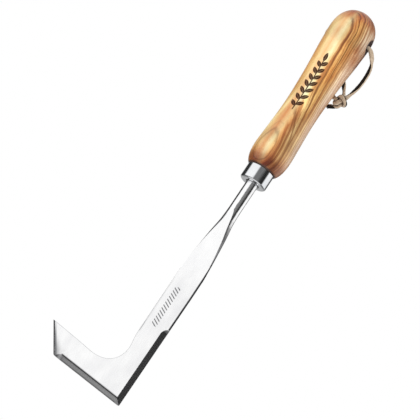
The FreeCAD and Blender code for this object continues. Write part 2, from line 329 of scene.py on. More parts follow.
# (height, factor)
TONE_ALONG = [
    (12, 0.56), (18, 0.68), (26, 0.95), (34, 0.87), (43, 0.98), (60, 0.99), (76, 0.95),
    (86, 1.01), (96, 1.10), (108, 1.06), (118, 1.01), (126, 0.82), (134, 0.90), (139, 0.90),
    (146, 0.72)]
TONE_LIMIT = 3.0                # divides TONE_ROUND to fit a colour ramp
BRIGHTEST = 0.97                # cap on each channel of the wood

LEAF_PAIRS = 7
LEAF_PITCH = 5.7                # height from one pair to the next
LEAF_FOOT = 61.5                # height of the lowest pair
LEAF_WIDTH = 1.42
STEM_X = -2.7


def layer_lines(g, depth, line_depth, ripple, theta):
    """Mask of the dark early-wood lines and of the narrow rings deeper in."""
    dark = None
    for level, width, weight in LAYER_LINES:
        # early wood starts sharply on the older side and fades into the newer wood
        sharp = line_depth.bell(at=level, width=width * 0.72)
        soft = line_depth.bell(at=level + width * 0.8, width=width * 1.7)
        line = sharp.maximum(soft * 0.40) * weight
        if level < 15.5:        # hardly seen on the side toward -X
            line = line * theta.fade(off=-17.0, on=1.0, low=0.10)
        elif level < 19.5:
            line = line * theta.fade(off=-12.0, on=6.0, low=0.10, high=1.25)
        dark = line if dark is None else dark.maximum(line)

    # rings of uneven weight; the added 40 whole rings keep the count positive
    phase = (line_depth + ripple * 0.35) / RING_SPACING
    fraction = g.math("FRACT", phase + 40.0)
    ring = g.math("FLOOR", phase + 40.0)
    random = g.node("ShaderNodeTexWhiteNoise", noise_dimensions="1D")
    g.put(random.inputs["W"], ring)
    weight = g.out(random, "Value").slope(off=0.0, on=1.0, low=0.35, high=0.95)
    fine = (1.0 - abs(fraction * 2.0 - 1.0)) ** 2.2 * weight
    return dark.maximum(fine * depth.fade(off=8.6, on=7.2) * 0.62)


def leaf(x, z, root, degrees, length, width):
    """Mask of one leaf blade with a fainter midrib; root is its (x, z)."""
    angle = math.radians(degrees)
    dx, dz = x - root[0], z - root[1]
    along = dx * (math.sin(angle) / length) + dz * (math.cos(angle) / length)
    across = abs(dx * math.cos(angle) + dz * -math.sin(angle))
    half_width = along * (1.0 - along) * (4.0 * width)
    body = (half_width - across).fade(off=-0.06, on=0.10)
    return body * across.fade(off=0.04, on=0.12, low=0.58)


def sprig(g, x, y, z):
    """Mask of the burnt-in sprig on the -Y side."""
    front = y.fade(off=-4.0, on=-7.0)
    bend = g.math("SINE", (z - 60.0) * 0.075) * 0.55
    across = (x + -STEM_X - bend) * 0.9
    mark = abs(across).fade(off=0.42, on=0.24) * z.band((58.4, 58.9), (101.6, 101.0))
    for k in range(LEAF_PAIRS):
        height = LEAF_FOOT + LEAF_PITCH * k
        length = 6.9 - 0.32 * abs(k - 2.5)
        for side in (-1, 1):
            root = (0.0, height + (1.3 if side > 0 else 0.0))
            blade = leaf(across, z, root, side * (43 - 1.2 * k), length, LEAF_WIDTH)
            mark = mark.maximum(blade)
    tip = leaf(across, z, root=(0.0, 100.6), degrees=0.0, length=7.6, width=1.35)
    return mark.maximum(tip) * front


def darken_ends_and_paint_shade(g, col, position, theta, cloud, thin):
    """Darkening at the ends of the grip; painted shadow below the lace hole and along its +X
    flank; painted shade in the hole's mouths and at the ferrule seat.
    """
    x, y, z = position

    # by the ferrule, all round and then on the side toward -X
    low_end = z.fade(off=27.0, on=13.5) * cloud.slope(off=0.3, on=0.7, low=0.75, high=1.15)
    low_end = low_end * (0.70 + theta.bell(at=30.0, width=42.0) * 0.32)
    col = g.stain(col, g.math("MULTIPLY", low_end, 0.92, clamp=True), rgb(210, 134, 84))
    low_side = z.fade(off=25.0, on=13.0) * theta.fade(off=-6.0, on=-30.0)
    col = g.stain(col, low_side * 0.62, rgb(212, 156, 112))

    # rim of the crown
    rim = z.fade(off=136.5, on=145.5) * cloud.slope(off=0.3, on=0.7, low=0.65, high=1.2)
    col = g.stain(col, g.math("MULTIPLY", rim, 0.85, clamp=True), rgb(212, 150, 104))

    # painted shadow below the hole, then along the flank toward +X
    hole_shadow = theta.bell(at=62.0, width=22.0) * z.bell(at=116.0, width=9.0)
    hole_shadow = hole_shadow.maximum(theta.bell(at=52.0, width=14.0) * z.bell(at=121.0, width=6.0))
    uneven = thin.slope(off=0.35, on=0.6, low=0.7, high=1.0)
    col = g.stain(col, hole_shadow * uneven, rgb(204, 148, 86))
    flank_shadow = theta.fade(off=74.0, on=90.0) * z.band((108.0, 115.0), (129.5, 125.5))
    uneven = thin.slope(off=0.35, on=0.6, low=0.65, high=0.95)
    col = g.stain(col, flank_shadow * uneven, rgb(172, 116, 76))

    # painted shade in the mouths of the hole and painted shadow at the seat in the ferrule
    from_hole = g.math("SQRT", y * y + (z - HOLE_HEIGHT) ** 2.0)
    mouth = from_hole.fade(off=6.9, on=5.8) * abs(x).fade(off=9.0, on=13.0)
    seat_shadow = z.fade(off=13.1, on=12.3)
    return g.paint(col, [(mouth, 0.95, rgb(48, 22, 17)), (seat_shadow, 0.82, rgb(58, 34, 22))])


def balance(g, col, theta, z):
    """Overall tone round and along the grip; partly the wood's own colour and partly painted light
    and shade.
    """
    stops = [(place, tuple(v / TONE_LIMIT for v in factors) + (1.0,))
             for place, factors in TONE_ROUND]
    col = g.multiply(col, g.ramp(theta.slope(*TONE_RANGE), stops))
    col = g.scaled(col, g.curve(z, TONE_ALONG) * TONE_LIMIT)
    limit = g.node("ShaderNodeVectorMath", operation="MINIMUM")
    g.put(limit.inputs[0], col)
    limit.inputs[1].default_value = (BRIGHTEST,) * 3
    return g.out(limit)


def wood():
    mat, g = new_material("ash_lacquered")
    x, y, z = position = g.split(g.coordinates()[0])
    radius = g.math("SQRT", x * x + y * y)
    theta = g.azimuth(x, y)

    # slow wander of the layers, and depth into them
    wander = g.grain(position, (0.055, 0.055, 0.022), rough=0.5) - 0.5
    ripple = g.grain(position, (0.22, 0.22, 0.055), rough=0.55) - 0.5
    fray = g.grain(position, (2.2, 2.2, 0.16), detail=3.0) - 0.5
    off_normal = (theta - g.curve(z, LAYER_FACING)) * RAD_PER_DEG
    depth = radius * g.math("COSINE", off_normal) + g.curve(z, LAYER_SHIFT)
    depth = depth + wander * 0.9 + ripple * 0.7
    line_depth = depth + fray * 0.42
    dark = layer_lines(g, depth, line_depth, ripple, theta)

    # darker streaks parallel to the layers, coarse in the middle and fine toward +X
    lane = theta * 0.012

    def streaks(across, along, rough):
        return g.noise(g.combine(line_depth * across, lane, z * along), rough=rough)
    coarse = streaks(across=0.95, along=0.020, rough=0.6)
    middle = theta.band((-8.0, 8.0), (66.0, 44.0))
    coarse_mask = coarse.fade(off=0.49, on=0.58) * middle
    even = streaks(across=1.15, along=0.016, rough=0.65)
    even_mask = even.fade(off=0.46, on=0.56) * theta.fade(off=26.0, on=46.0, low=0.1)
    thin = streaks(across=2.6, along=0.035, rough=0.6)
    thin_mask = thin.fade(off=0.47, on=0.62) * theta.fade(off=-14.0, on=20.0, low=0.15)

    # one broad dark streak, with a fainter twin, that runs down to the ferrule
    offset = theta - g.curve(z, STREAK_RUN) + ripple * 9.0 + fray * 3.0
    twin = offset.bell(at=9.5, width=2.6) * 0.55
    broad = offset.bell(at=0.0, width=3.3).maximum(twin) * z.fade(off=66.0, on=54.0)
    dark = dark.maximum(broad * 0.85)
    brown = (z.fade(off=74.0, on=50.0) * theta.fade(off=0.0, on=14.0)
             * theta.fade(off=56.0, on=40.0))

    # pores and fibres drawn out along the grain
    pores = g.grain(position, (4.2, 4.2, 0.22)).fade(off=0.60, on=0.74)
    fibre = g.grain(position, (7.5, 7.5, 0.35), detail=3.0, rough=0.65)
    broad_cloud = g.grain(position, (0.10, 0.10, 0.035), detail=3.0, rough=0.55)
    cloud = g.grain(position, (0.32, 0.32, 0.09), detail=3.0)

    # layer colour, clouded, with a honey side toward -X
    col = g.ramp(depth.slope(*LAYER_RANGE), LAYER_COLOURS)
    tint = g.mix(broad_cloud.fade(off=0.34, on=0.68), rgb(255, 246, 226), rgb(238, 208, 172))
    col = g.multiply(col, tint)
    for amount, tint in (
            (theta.fade(off=-18.0, on=-42.0) * 0.75, rgb(255, 240, 200)),
            (cloud.fade(off=0.52, on=0.72) * 0.35, rgb(226, 182, 132)),
            (coarse_mask * 0.66, rgb(176, 122, 76)),
            (even_mask * 0.50, rgb(190, 148, 112)),
            (thin_mask * 0.34, rgb(176, 130, 92)),
            (brown, rgb(204, 194, 196))):
        col = g.stain(col, amount, tint)

    # lines, pores and fibres
    line_colour = g.mix(theta.fade(off=24.0, on=66.0), rgb(104, 54, 18), rgb(150, 98, 60))
    col = g.mix(g.math("MULTIPLY", dark, 0.98, clamp=True), col, line_colour)
    pore_strength = g.math("MULTIPLY_ADD", dark, 0.5, 0.16)     # stronger in the lines
    col = g.mix(pores * pore_strength, col, rgb(118, 66, 26))
    col = g.stain(col, fibre.fade(off=0.40, on=0.72, high=0.20), rgb(206, 168, 128))

    col = darken_ends_and_paint_shade(g, col, position, theta, cloud, thin)
    col = balance(g, col, theta, z)

    mark = sprig(g, x, y, z)
    speck = g.grain(position, (3.0, 3.0, 1.2))
    burnt = mark * speck.slope(off=0.25, on=0.75, low=0.92)
    col = g.mix(burnt, col, g.mix(speck, rgb(30, 8, 6), rgb(66, 24, 18)))

    # relief of the wood and of the lacquer; the sprig is sunk and nearly without gloss
    height = fibre * 0.25 + pores * -0.6 + dark * -0.35 + mark * -3.2 + cloud * 0.6
    coat_height = mark * -3.0 + cloud * 1.4 + dark * -0.18
    g.principled({
        "Base Color": col,
        "Roughness": fibre.slope(off=0.3, on=0.75, low=0.34, high=0.48),
        "Normal": g.bump(height, metres=0.00006),
        "Coat Weight": (1.0 - mark * 0.85) * 0.36,
        "Coat Roughness": 0.17,
        "Coat Normal": g.bump(coat_height, metres=0.00005),
        "Specular IOR Level": (1.0 - mark * 0.85) * 0.4})
    return mat


# ---------------------------------------------------------------- steel
HATCH_PITCH = 2.4               # height between bars of the etched strip


def blade_steel():
    mat, g = new_material("ground_stainless")
    place, normal = g.coordinates()
    x, y, z = position = g.split(place)
    nx, ny, _ = g.split(normal)
    flat = ny.fade(off=-0.955, on=-0.995)               # the face toward -Y
    bevel = g.math("LESS_THAN", z, -100.0) * (ny.fade(off=-0.25, on=-0.4) * (1.0 - flat))
    off_flat = 1.0 - flat

    # ground texture: fine and coarse along Z, and across on the bevels
    grain = g.grain(position, (9.0, 9.0, 0.16), detail=3.0, rough=0.65)
    coarse = g.grain(position, (2.4, 2.4, 0.05), rough=0.5)
    cross = g.grain((x + z * 0.12, y, z), (0.5, 2.0, 9.0))
    brush = g.grain(position, (2.6, 0.4, 0.35), detail=3.0)
    cloud = g.grain(position, (0.09, 0.09, 0.045), detail=3.0, rough=0.55)
    fine_cloud = g.noise(place, scale=0.35, detail=3.0)
    forged = z.fade(off=-92.0, on=-70.0) * 1.0

    # distance in from the toe's edge, and height above the foot's lower edge
    from_toe = (x + 57.5) * 0.8302 + (z + 167.125) * 0.5574
    above = (x + 50.4) * 0.1168 + (z + 177.7) * 0.9932
    on_foot = x.fade(off=5.4, on=4.0) * above.fade(off=5.6, on=5.0)

    # painted shade standing in for darker reflections by the foot's lower corner and along the toe
    corner_shade = x.bell(at=-45.0, width=3.4) * z.bell(at=-175.0, width=3.2)
    corner_shade = corner_shade * fine_cloud.fade(off=0.35, on=0.7)
    toe_edge_shade = from_toe.fade(off=2.9, on=1.7) * (flat * z.fade(off=-156.0, on=-166.0, low=0.25))
    toe_shade = from_toe.fade(off=6.4, on=1.5) * z.fade(off=-162.0, on=-174.0) * flat
    # painted shade on the bevels, standing in for darker reflections, with some grey of their
    # grind
    bevel_shade = x.fade(off=-6.0, on=-10.0, low=0.35, high=0.62) * (1.0 - on_foot)

    # etched strip of slanting bars
    strip = x.band((-4.55, -4.35), (-0.1, -0.3)) * z.band((-124.6, -124.2), (-92.0, -92.4))
    strip = strip * flat
    saw = g.math("FRACT", (x * 0.55 + z) * (1.0 / HATCH_PITCH))
    bars = abs(saw - 0.5).fade(off=0.30, on=0.36)
    bars = bars * g.grain(position, (0.8, 0.8, 0.5)).fade(off=0.30, on=0.50, low=0.86)
    etched = strip * bars

    # painted shade standing in for dark edge reflections: a line where the foot's bevel meets the
    # flat, one along its lower edge, and both its ends
    ledge_shade = above.bell(at=3.70, width=0.60) * x.band((-46.1, -44.7), (5.9, 5.1))
    lower_edge_shade = above.bell(at=0.35, width=0.55) * on_foot * x.fade(off=-46.0, on=-43.0)
    heel_end_shade = (x.fade(off=5.2, on=5.6) * off_flat
                * z.band((-118.0, -119.5), (-131.0, -127.5)))
    toe_end_shade = (x.fade(off=-43.5, on=-44.5) * off_flat
               * (above.fade(off=5.6, on=5.0) * x.fade(off=-49.6, on=-49.0)))

    # painted shade on the rolled side of the neck, the plate's broken +X edge and its side face
    rolled = z.band((-36.0, -46.0), (-100.0, -94.0)) * nx.fade(off=0.12, on=0.36)
    narrowing = ((-95.0 - z) * 0.01116).maximum(0.0)
    broken_edge_shade = ((x + narrowing).fade(off=8.40, on=8.66) * z.fade(off=-66.0, on=-74.0)
              * (flat * z.fade(off=-128.0, on=-124.0)))
    side_face_shade = nx.fade(off=0.8, on=0.95) * z.fade(off=-64.0, on=-72.0)
    # painted shade line just inside the -X edge
    edge_line_shade = x.bell(at=-8.72, width=0.34) * flat * z.band((-84.0, -92.0), (-134.5, -131.0))
    edge_line_strength = 0.26 + z.bell(at=-128.0, width=4.5) * 0.40

    col = g.mix(cloud.slope(off=0.3, on=0.7), rgb(249, 249, 249), rgb(241, 241, 242))
    col = g.mix(grain.fade(off=0.45, on=0.75, high=0.16), col, rgb(186, 187, 190))
    col = g.paint(col, [
        (corner_shade, 0.6, rgb(112, 112, 114)),
        (toe_shade, 0.70, rgb(112, 113, 116)),
        (toe_edge_shade, 0.82, rgb(84, 85, 88)),
        (bevel, bevel_shade, rgb(150, 152, 156)),
        (etched, 0.84, rgb(112, 113, 116)),
        (on_foot * off_flat, brush.fade(off=0.35, on=0.65, high=0.20), rgb(120, 121, 124)),
        (ledge_shade, 0.97, rgb(30, 30, 32)),
        (lower_edge_shade, 0.55, rgb(84, 85, 88)),
        (heel_end_shade, 0.15, rgb(84, 85, 88)),
        (toe_end_shade, 0.55, rgb(110, 111, 114)),
        (rolled, 0.80, rgb(74, 75, 78)),
        (broken_edge_shade.maximum(side_face_shade), 0.95, rgb(46, 47, 50)),
        (edge_line_shade, edge_line_strength, rgb(120, 121, 124))])

    rough = 0.15 + cloud * 0.08 + grain * 0.07
    rough = rough + etched * 0.25 + bevel * -0.02 + forged * -0.06
    # the lengthwise grain gives way to the cross grain on the bevels
    height = (grain * (1.0 - bevel * 0.7) + cross * (bevel * 0.7)
              + coarse * 0.6 + etched * -4.0)
    g.principled({
        "Base Color": col,
        "Metallic": 1.0,
        "Roughness": rough,
        "Normal": g.bump(height, metres=0.0000045),
        "Specular IOR Level": 0.5})
    return mat


def ferrule_steel():
    mat, g = new_material("polished_steel")
    place, normal = g.coordinates()
    position = g.split(place)
    turned = g.grain(position, (0.15, 0.15, 9.0), detail=3.0)
    cloud = g.noise(place, scale=0.16, detail=3.0, rough=0.55)
    scuff = g.grain(position, (0.9, 0.9, 3.4), detail=3.0, rough=0.7).fade(off=0.62, on=0.78)
    underside = g.split(normal)[2].fade(off=-0.8, on=-0.97)
    col = g.mix(cloud.slope(off=0.3, on=0.7), rgb(236, 237, 239), rgb(222, 224, 227))
    g.principled({
        "Base Color": g.paint(col, [(scuff, 0.22, rgb(170, 172, 176))]),
        "Metallic": 1.0,
        "Roughness": 0.075 + turned * 0.05 + scuff * 0.12 + underside * 0.14,
        "Normal": g.bump(turned + cloud * 1.5, metres=0.0000035)})
    return mat


# Dark resin round the stem in the ferrule's mouth; its dark colour also stands in for the shade in
# that gap.
def resin():
    mat, g = new_material("cast_resin")
    cloud = g.noise(g.coordinates()[0], scale=0.9, detail=3.0)
    g.principled({
        "Base Color": g.mix(cloud, rgb(46, 42, 36), rgb(70, 62, 50)),
        "Roughness": cloud.slope(off=0.3, on=0.7, low=0.45, high=0.7),
        "Normal": g.bump(cloud, metres=0.00008)})
    return mat


# ---------------------------------------------------------------- leather
def lace_leather():
    """Tan leather dyed black on one face; reads the attributes of the lace mesh."""
    mat, g = new_material("two_tone_leather")

    def attribute(name):
        made = g.node("ShaderNodeAttribute", attribute_type="GEOMETRY", attribute_name=name)
        return g.out(made, "Fac")
    side = attribute("lace_side")            # 1 on the dyed face, -1 on the other
    along = attribute("lace_along")          # millimetres along the lace
    around = attribute("lace_around")        # radians round it
    cut = attribute("lace_cut")              # 1 on the cut ends

    def hide(lengthwise, girth):
        """Texture space that wraps round the lace without a seam."""
        return g.combine(along * lengthwise, g.math("SINE", around) * girth,
                         g.math("COSINE", around) * girth)
    skin = hide(lengthwise=1.0, girth=1.3)
    pebble = g.noise(skin, scale=2.2, detail=3.0)
    fuzz = g.noise(hide(lengthwise=0.35, girth=2.6), scale=1.6, detail=3.0, rough=0.65)
    slow = g.noise(skin, scale=0.16, rough=0.5)

    tan = g.mix(slow.slope(off=0.3, on=0.7), rgb(208, 189, 166), rgb(178, 156, 132))
    tan = g.mix(fuzz.fade(off=0.45, on=0.75, high=0.55), tan, rgb(126, 102, 78))
    tan = g.mix(pebble.fade(off=0.52, on=0.72, high=0.35), tan, rgb(230, 214, 190))
    black = g.mix(pebble.fade(off=0.35, on=0.75), rgb(12, 8, 6), rgb(36, 27, 20))
    dyed = (side + (fuzz - 0.5) * 0.22).fade(off=0.34, on=0.50)
    col = g.mix(dyed, tan, black)
    col = g.mix(cut, col, g.mix(fuzz, rgb(176, 140, 100), rgb(128, 94, 62)))

    # painted shade in the creases between the turns of the knot
    occlusion = g.node("ShaderNodeAmbientOcclusion", samples=6)
    occlusion.inputs["Distance"].default_value = 2.6 * MM
    crease_shade = g.out(occlusion, "AO").fade(off=0.34, on=0.93, low=1.0, high=0.0)
    g.principled({
        "Base Color": g.stain(col, crease_shade * 0.92, rgb(108, 68, 42)),
        "Roughness": g.mix(dyed, grey(0.78), grey(0.50)),
        "Normal": g.bump(pebble * 0.7 + fuzz * 0.5, metres=0.00016),
        "Sheen Weight": (1.0 - dyed) * 0.15,
        "Sheen Roughness": 0.5,
        "Specular IOR Level": g.math("MULTIPLY_ADD", dyed, -0.12, 0.32)})
    return mat


# ---------------------------------------------------------------- mesh helpers
def natural_spline(points):
    """Natural cubic spline through points against chord length: (knots, function)."""
    points = np.asarray(points, float)
    knots = np.r_[0, np.cumsum(np.linalg.norm(np.diff(points, axis=0), axis=1))]
    count = len(knots)
    gaps = np.diff(knots)
    system = np.zeros((count, count))
    target = np.zeros_like(points)
    system[0, 0] = system[-1, -1] = 1.0
    for i in range(1, count - 1):
        before, after = gaps[i - 1], gaps[i]
        system[i, i - 1], system[i, i], system[i, i + 1] = before, 2 * (before + after), after
        target[i] = 6 * ((points[i + 1] - points[i]) / after
                         - (points[i] - points[i - 1]) / before)
    second = np.linalg.solve(system, target)        # second derivatives at the knots

    def at(chord):
        chord = np.clip(np.asarray(chord, float), 0, knots[-1])
        i = np.clip(np.searchsorted(knots, chord) - 1, 0, count - 2)
        to_next, passed = (knots[i + 1] - chord)[:, None], (chord - knots[i])[:, None]
        gap = gaps[i][:, None]
        return (second[i] * to_next ** 3 + second[i + 1] * passed ** 3) / (6 * gap) \
            + (points[i] / gap - second[i] * gap / 6) * to_next \
            + (points[i + 1] / gap - second[i + 1] * gap / 6) * passed
    return knots, at


def mesh_object(name, vertices, faces):
    """Linked mesh object; vertices is a list in metres."""
    mesh = bpy.data.meshes.new(name)
    mesh.from_pydata(vertices, [], faces)
    mesh.update()
    obj = bpy.data.objects.new(name, mesh)
    scene.collection.objects.link(obj)
    return obj


def face_outward(mesh):
    bm = bmesh.new()
    bm.from_mesh(mesh)
    bmesh.ops.recalc_face_normals(bm, faces=bm.faces)
    bm.to_mesh(mesh)
    bm.free()


def shade_smooth(mesh):
    mesh.polygons.foreach_set("use_smooth", [True] * len(mesh.polygons))


def band_faces(first, second):
    """Quads between two rings of vertex numbers."""
    count = len(first)
    return [(first[j], first[(j + 1) % count], second[(j + 1) % count], second[j])
            for j in range(count)]


def lathe(name, profile, segments, axis="z"):
    """Closed lathe from (radius, height) points whose first and last radius are 0."""
    profile = np.asarray(profile, float)
    angles = np.arange(segments) * 2 * math.pi / segments
    inner = profile[1:-1]
    heights = np.repeat(inner[:, 1][:, None], segments, 1)
    rings = np.stack([np.outer(inner[:, 0], np.cos(angles)),
                      np.outer(inner[:, 0], np.sin(angles)), heights], -1).reshape(-1, 3)
    vertices = np.vstack([rings, [[0, 0, profile[0, 1]], [0, 0, profile[-1, 1]]]])
    count = len(inner)
    numbers = [range(i * segments, (i + 1) * segments) for i in range(count)]
    faces = []
    for i in range(count - 1):
        faces += band_faces(numbers[i], numbers[i + 1])
    low, high = count * segments, count * segments + 1
    for j in range(segments):
        following = (j + 1) % segments
        faces.append((low, following, j))
        faces.append((high, numbers[-1][j], numbers[-1][following]))
    if axis == "x":
        vertices = vertices[:, [2, 0, 1]]
    obj = mesh_object(name, (vertices * MM).tolist(), faces)
    face_outward(obj.data)
    return obj


# ---------------------------------------------------------------- grip mesh
# Outline from the ferrule to the middle of the crown: (radius, height)
GRIP = [
    (10.35, 11.8), (11.5, 13.0), (12.7, 15.0), (13.75, 18.0),
    (14.42, 22.0), (14.72, 28.0), (14.42, 35.0), (13.87, 45.0),
    (13.38, 55.0), (13.2, 65.0), (13.35, 75.0), (13.8, 85.0),
    (14.35, 95.0), (15.15, 105.0), (16.0, 115.0), (16.62, 125.0),
    (16.9, 132.5), (16.5, 137.7), (15.45, 142.0), (13.65, 145.5),
    (11.1, 148.6), (7.8, 150.9), (4.1, 152.35), (0.0, 152.8)]
# Tenon below it: (radius, height)
TENON = [
    (0.0, 1.5), (3.0, 1.5), (6.0, 1.5), (8.7, 1.5), (9.1, 1.9), (9.23, 2.6), (9.23, 6.0),
    (9.23, 11.75), (9.7, 11.75), (10.05, 11.75)]
FOOT_SPAN, CROWN_SPAN = 14, 24  # lengths of outline sampled more finely at each end
MOUTH_SWEEP = 70                # degrees of arc in each rolled mouth
CUTTER_REACH = 26.0             # half length of the hole cutter


def hole_cutter():
    """Solid of the cross hole with its rolled mouths, along X."""
    start = HOLE_MOUTH - HOLE_FLARE * math.sin(math.radians(MOUTH_SWEEP))
    mouth = []
    for degrees in np.linspace(MOUTH_SWEEP, 0, 15):
        angle = math.radians(degrees)
        mouth.append((HOLE_RADIUS + HOLE_FLARE - HOLE_FLARE * math.cos(angle),
                      start + HOLE_FLARE * math.sin(angle)))
    half = [(mouth[0][0], CUTTER_REACH)] + mouth
    bore = [(HOLE_RADIUS, h) for h in np.linspace(-start + 1.2, start - 1.2, 16)]
    profile = [(0.0, -CUTTER_REACH)] + [(r, -h) for r, h in half] + bore \
        + half[::-1] + [(0.0, CUTTER_REACH)]
    cutter = lathe("cutter", profile, 96, axis="x")
    for vertex in cutter.data.vertices:
        vertex.co.z += HOLE_HEIGHT * MM
    return cutter


def make_grip():
    # the outline carries on past the axis so that the crown is round there
    beyond = [(-r, z) for r, z in reversed(GRIP[-5:-1])]
    knots, outline = natural_spline(GRIP + beyond)
    end = knots[len(GRIP) - 1]
    body = outline(np.r_[np.linspace(0, FOOT_SPAN, 24)[:-1],
                         np.linspace(FOOT_SPAN, end - CROWN_SPAN, 126)[:-1],
                         np.linspace(end - CROWN_SPAN, end, 46)])
    body[-1] = (0.0, GRIP[-1][1])
    grip = lathe("grip", np.vstack([TENON, body]), 208)

    cutter = hole_cutter()
    boolean = grip.modifiers.new("hole", "BOOLEAN")
    boolean.object = cutter
    boolean.operation = "DIFFERENCE"
    boolean.solver = "EXACT"
    bpy.context.view_layer.update()
    depsgraph = bpy.context.evaluated_depsgraph_get()
    mesh = bpy.data.meshes.new_from_object(grip.evaluated_get(depsgraph))
    grip.modifiers.clear()
    grip.data = mesh
    mesh.name = "grip"
    bpy.data.objects.remove(cutter)

    # tidy the slivers that the cut leaves
    bm = bmesh.new()
    bm.from_mesh(mesh)
    bmesh.ops.remove_doubles(bm, verts=bm.verts, dist=2e-6)
    bmesh.ops.dissolve_degenerate(bm, edges=bm.edges, dist=1e-6)
    bm.to_mesh(mesh)
    bm.free()
    shade_smooth(mesh)
    mesh.set_sharp_from_angle(angle=math.radians(40))
    return grip


# ---------------------------------------------------------------- lace mesh
# Centre line from one cut end to the other: (x, y, z)
LACE = [
    (10.84, 14.05, 91.20), (11.44, 13.04, 90.84), (12.07, 12.07, 90.48), (13.02, 11.45, 90.10),
    (14.18, 11.31, 89.79), (15.31, 11.66, 89.59), (16.20, 12.46, 89.47), (16.93, 13.46, 89.42),
    (17.87, 14.21, 89.39), (19.04, 14.49, 89.36), (20.22, 14.25, 89.34), (21.18, 13.53, 89.36),
    (21.78, 12.48, 89.40), (22.01, 11.27, 89.47), (21.99, 9.53, 89.62), (21.78, 8.33, 89.78),
    (21.26, 7.27, 90.09), (20.41, 6.56, 90.55), (19.36, 6.31, 91.09), (18.31, 6.57, 91.60),
    (17.42, 7.30, 91.97), (16.79, 8.33, 92.16), (15.60, 11.07, 92.38), (15.09, 12.18, 92.26),
    (14.60, 13.13, 91.71), (14.20, 13.77, 90.77), (13.94, 13.94, 89.61), (13.93, 13.64, 88.45),
    (14.24, 12.98, 87.50), (14.84, 12.10, 86.94), (15.63, 11.20, 86.87), (16.45, 10.39, 87.28),
    (17.35, 9.63, 88.18), (18.36, 9.09, 89.47), (19.32, 9.04, 90.91), (20.95, 8.74, 94.27),
    (22.48, 8.08, 98.45), (23.79, 7.40, 102.95), (24.73, 6.22, 107.44), (25.24, 4.92, 111.71),
    (25.28, 3.73, 116.30), (24.67, 2.72, 120.64), (23.02, 1.58, 124.88), (20.36, 0.52, 128.63),
    (18.47, 0.20, 130.51), (16.39, 0.07, 131.59), (13.75, 0.01, 132.07), (9.02, 0.02, 132.16),
    (4.52, 0.06, 132.07), (0.02, 0.11, 132.00), (-4.73, 0.26, 131.92), (-9.45, 0.70, 131.88),
    (-14.09, 1.59, 131.84), (-15.83, 2.42, 131.55), (-17.04, 3.52, 131.08),
    (-17.75, 4.88, 130.41), (-17.90, 6.35, 129.57), (-17.41, 8.58, 128.08),
    (-15.64, 11.57, 125.68), (-13.71, 13.67, 123.67), (-10.61, 16.00, 120.97),
    (-6.94, 17.62, 118.46), (-2.97, 18.47, 116.04), (1.08, 18.64, 113.58), (4.98, 18.22, 110.93),
    (8.50, 17.40, 107.86), (11.50, 16.27, 104.38), (13.95, 14.68, 100.95),
    (16.27, 13.08, 97.13), (18.25, 12.28, 92.91), (18.88, 11.97, 91.03), (19.10, 11.83, 89.82),
    (19.03, 11.92, 88.62), (18.61, 12.32, 87.56), (17.78, 13.04, 86.56), (16.36, 13.98, 85.55),
    (14.60, 14.63, 84.89), (10.86, 16.14, 83.75), (10.33, 16.61, 83.50)]
LACE_STEP = 0.27
FINE_COUNT = 6000               # samples used to measure length along the centre line
KNOT_CENTRE = np.array([18.6, 10.4, 89.4])

# Where the dyed face looks: (point of LACE, direction)
LEFT = np.array([-0.966, -0.259, 0.0])          # the camera's left
TOWARD = np.array([0.25, -0.933, -0.259])       # toward the camera
BACK = -TOWARD
UP = np.array([0.0, 0.0, 1.0])
DYED_FACING = [
    (0, BACK), (4, BACK), (8, (0.0, 1.0, 0.2)), (11, (0.75, 0.6, -0.2)),
    (14, (0.9, -0.1, 0.35)), (18, 0.55 * BACK + 0.9 * UP), (22, BACK),
    (26, 0.9 * BACK + 0.3 * LEFT), (31, BACK - 0.4 * UP), (34, BACK),
    (35, 0.5 * BACK + 0.8 * LEFT), (36, 0.95 * LEFT + 0.30 * TOWARD),
    (37, 0.78 * LEFT + 0.62 * TOWARD), (40, 0.78 * LEFT + 0.62 * TOWARD),
    (41, 0.92 * LEFT + 0.38 * TOWARD), (42, 0.7 * LEFT + 0.7 * BACK - 0.3 * UP),
    (43, BACK - 0.5 * UP), (46, (0.1, 0.6, -0.8)), (51, (0.0, 0.1, -1.0)),
    (55, (0.8, -0.2, -0.6)), (58, (0.8, -0.6, 0.0)), (62, (0.1, -1.0, 0.0)),
    (66, (-0.6, -0.8, 0.0)), (68, LEFT + 0.75 * BACK), (70, 0.8 * LEFT + BACK),
    (72, BACK), (74, BACK - 0.3 * UP), (76, 0.7 * TOWARD - 0.7 * UP),
    (78, 0.7 * TOWARD - 0.7 * UP)]
TWIST_BLUR = 9                  # stations either side over which the twist is smoothed

SECTION_POINTS = 20
SECTION_POWER = 2 / 3.4         # squareness of the rounded section
# Rings that round off a cut end: (scale, distance outward)
CAP_RINGS = ((0.93, 0.10), (0.72, 0.17), (0.4, 0.19))
CAP_HEIGHT = 0.2


def lace_path():
    """Even stations: distance along, centre, tangent, and distance at each LACE point."""
    knots, line = natural_spline(LACE)
    samples = np.linspace(0, knots[-1], FINE_COUNT)
    fine = line(samples)
    arc = np.r_[0, np.cumsum(np.linalg.norm(np.diff(fine, axis=0), axis=1))]
    along = np.linspace(0, arc[-1], int(arc[-1] / LACE_STEP) + 1)
    centre = np.stack([np.interp(along, arc, fine[:, k]) for k in range(3)], -1)
    tangent = np.gradient(centre, along, axis=0)
    tangent /= np.linalg.norm(tangent, axis=1, keepdims=True)
    nearest = np.interp(knots, samples, np.arange(FINE_COUNT))
    return along, centre, tangent, np.array([arc[int(round(k))] for k in nearest])


